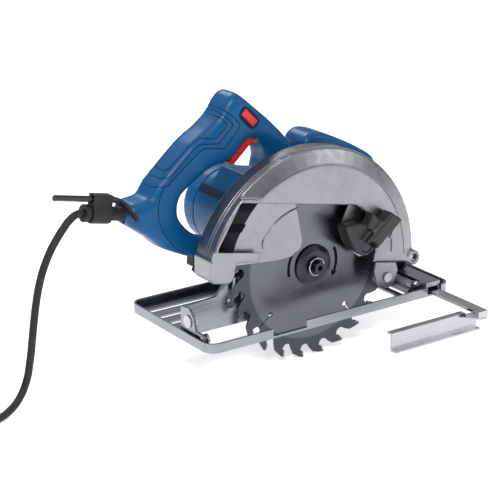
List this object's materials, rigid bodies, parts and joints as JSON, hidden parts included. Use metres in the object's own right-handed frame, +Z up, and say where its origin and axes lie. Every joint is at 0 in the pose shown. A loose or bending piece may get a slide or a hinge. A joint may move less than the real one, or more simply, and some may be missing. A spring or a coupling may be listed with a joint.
{
  "type": "circular saw",
  "caption": "Corded hand-held circular saw: blade between a fixed and a swinging guard, motor behind, D-handle with trigger, tilting slotted base, parallel guide and coiled cord.",
  "frame": {"origin": "under the middle of the saw's box without its cord, level with the blade's lowest tooth", "axes": "+X the cutting direction, towards the front of the base; +Y across the saw, from the blade towards the motor; +Z up"},
  "size_m": [0.584, 0.257, 0.2597],
  "materials": {
    "pressed_sheet": "satin, brushed along X",
    "cast_alloy": "satin cast",
    "plated_steel": "bright zinc",
    "dark_steel": "blackened",
    "blade_steel": "ground and brushed in rings",
    "blue_plastic": "fine-grained moulding",
    "red_plastic": "smooth moulding",
    "black_plastic": "fine-grained moulding",
    "cord_rubber": "matt",
    "windings": "enamelled copper and laminations",
    "brass_parts": "bright"
  },
  "bodies": {
    "base": {"base_plate": "pressed_sheet", "guide_tunnel": "pressed_sheet", "front_quadrant": "pressed_sheet"},
    "bevel_frame": {"bevel_frame": "pressed_sheet", "front_bevel_pin": "plated_steel", "rear_bevel_pin": "plated_steel", "rear_ear_bolt": "plated_steel", "bevel_lock_bolt": "plated_steel"},
    "bevel_lever": {"bevel_lock_lever": "black_plastic"},
    "guide": {"guide_bar": "plated_steel", "guide_fence": "pressed_sheet"},
    "guide_screw": {"guide_wing_screw": "black_plastic"},
    "motor_unit": {"upper_guard": "cast_alloy", "gear_case": "cast_alloy", "depth_pivot_pin": "plated_steel", "depth_bolt": "dark_steel", "guard_bracket": "cast_alloy", "bracket_rivet": "plated_steel", "spindle_bearing_front": "plated_steel", "spindle_bearing_rear": "plated_steel", "armature_bearing_front": "plated_steel", "armature_bearing_rear": "plated_steel", "stator": "dark_steel", "motor_housing": "blue_plastic", "brush_holder_upper": "brass_parts", "brush_holder_lower": "brass_parts", "motor_end_cap": "blue_plastic", "handle_near_shell": "blue_plastic", "handle_far_shell": "blue_plastic", "switch_body": "black_plastic", "front_grip": "blue_plastic", "handle_screw_1": "dark_steel", "handle_screw_2": "dark_steel", "handle_screw_3": "dark_steel", "cable_sleeve": "cord_rubber", "key_clip": "cord_rubber", "cord_tube": "cord_rubber", "cord_coil": "cord_rubber", "cord_tail": "cord_rubber", "plug_body": "black_plastic", "plug_pin_1": "brass_parts", "plug_pin_2": "brass_parts"},
    "lower_guard": {"lower_guard": "cast_alloy", "retract_lever": "black_plastic", "lever_screw": "dark_steel"},
    "spindle": {"saw_blade": "blade_steel", "outer_flange": "dark_steel", "blade_bolt": "dark_steel", "inner_flange": "dark_steel", "spindle_shaft": "plated_steel", "drive_gear": "plated_steel"},
    "armature": {"armature_shaft": "plated_steel", "armature_core": "windings", "commutator": "brass_parts", "cooling_fan": "black_plastic"},
    "trigger": {"trigger": "red_plastic"},
    "lock_button": {"lock_button": "red_plastic"},
    "spindle_lock": {"spindle_lock_button": "black_plastic"},
    "depth_lever": {"depth_lever": "black_plastic"},
    "hex_key": {"hex_key": "dark_steel"}
  },
  "joints": [
    {"name": "bevel_tilt", "type": "hinge", "parent": "base", "child": "bevel_frame", "pos_m": [0.0521, -0.0425, 0.0542], "axis": [1, 0, 0], "range_deg": [0, 45]},
    {"name": "bevel_lever_turn", "type": "hinge", "parent": "bevel_frame", "child": "bevel_lever", "pos_m": [0.1621, 0.0155, 0.0542], "axis": [1, 0, 0], "range_deg": [-40, 0]},
    {"name": "guide_slide", "type": "slide", "parent": "base", "child": "guide", "axis": [0, 1, 0], "range_m": [-0.06, 0.04]},
    {"name": "guide_screw_turn", "type": "hinge", "parent": "base", "child": "guide_screw", "pos_m": [0.1736, -0.0015, 0.0612], "axis": [0, 0, 1], "range_deg": [-90, 0]},
    {"name": "depth_swing", "type": "hinge", "parent": "bevel_frame", "child": "motor_unit", "pos_m": [0.12813, -0.0095, 0.06716], "axis": [0, 1, 0], "range_deg": [-12, 20]},
    {"name": "lower_guard_swing", "type": "hinge", "parent": "motor_unit", "child": "lower_guard", "pos_m": [0.0521, -0.0215, 0.0912], "axis": [0, -1, 0], "range_deg": [0, 135]},
    {"name": "spindle_spin", "type": "hinge", "parent": "motor_unit", "child": "spindle", "pos_m": [0.0521, -0.0215, 0.0912], "axis": [0, 1, 0], "continuous": true},
    {"name": "armature_spin", "type": "hinge", "parent": "motor_unit", "child": "armature", "pos_m": [0.04013, -0.0215, 0.11966], "axis": [0, 1, 0], "continuous": true},
    {"name": "trigger_press", "type": "slide", "parent": "motor_unit", "child": "trigger", "axis": [-0.6538, 0, 0.7567], "range_m": [0, 0.005], "stiffness_N_per_m": 900, "springref_m": -0.002},
    {"name": "lock_button_press", "type": "slide", "parent": "motor_unit", "child": "lock_button", "axis": [0, 1, 0], "range_m": [0, 0.004], "stiffness_N_per_m": 700, "springref_m": -0.002},
    {"name": "spindle_lock_press", "type": "slide", "parent": "motor_unit", "child": "spindle_lock", "axis": [-0.9799, 0, 0.1994], "range_m": [0, 0.0035], "stiffness_N_per_m": 900, "springref_m": -0.002},
    {"name": "depth_lever_turn", "type": "hinge", "parent": "motor_unit", "child": "depth_lever", "pos_m": [-0.02892, -0.0045, 0.10075], "axis": [0, 1, 0], "range_deg": [0, 30]},
    {"name": "hex_key_turn", "type": "hinge", "parent": "motor_unit", "child": "hex_key", "pos_m": [-0.14803, 0.0235, 0.1809], "axis": [0.9799, 0, -0.1994], "range_deg": [-60, 0]}
  ],
  "couplings": [
    {"joint": "armature_spin", "follows": "spindle_spin", "ratio": -3.0833}
  ]
}
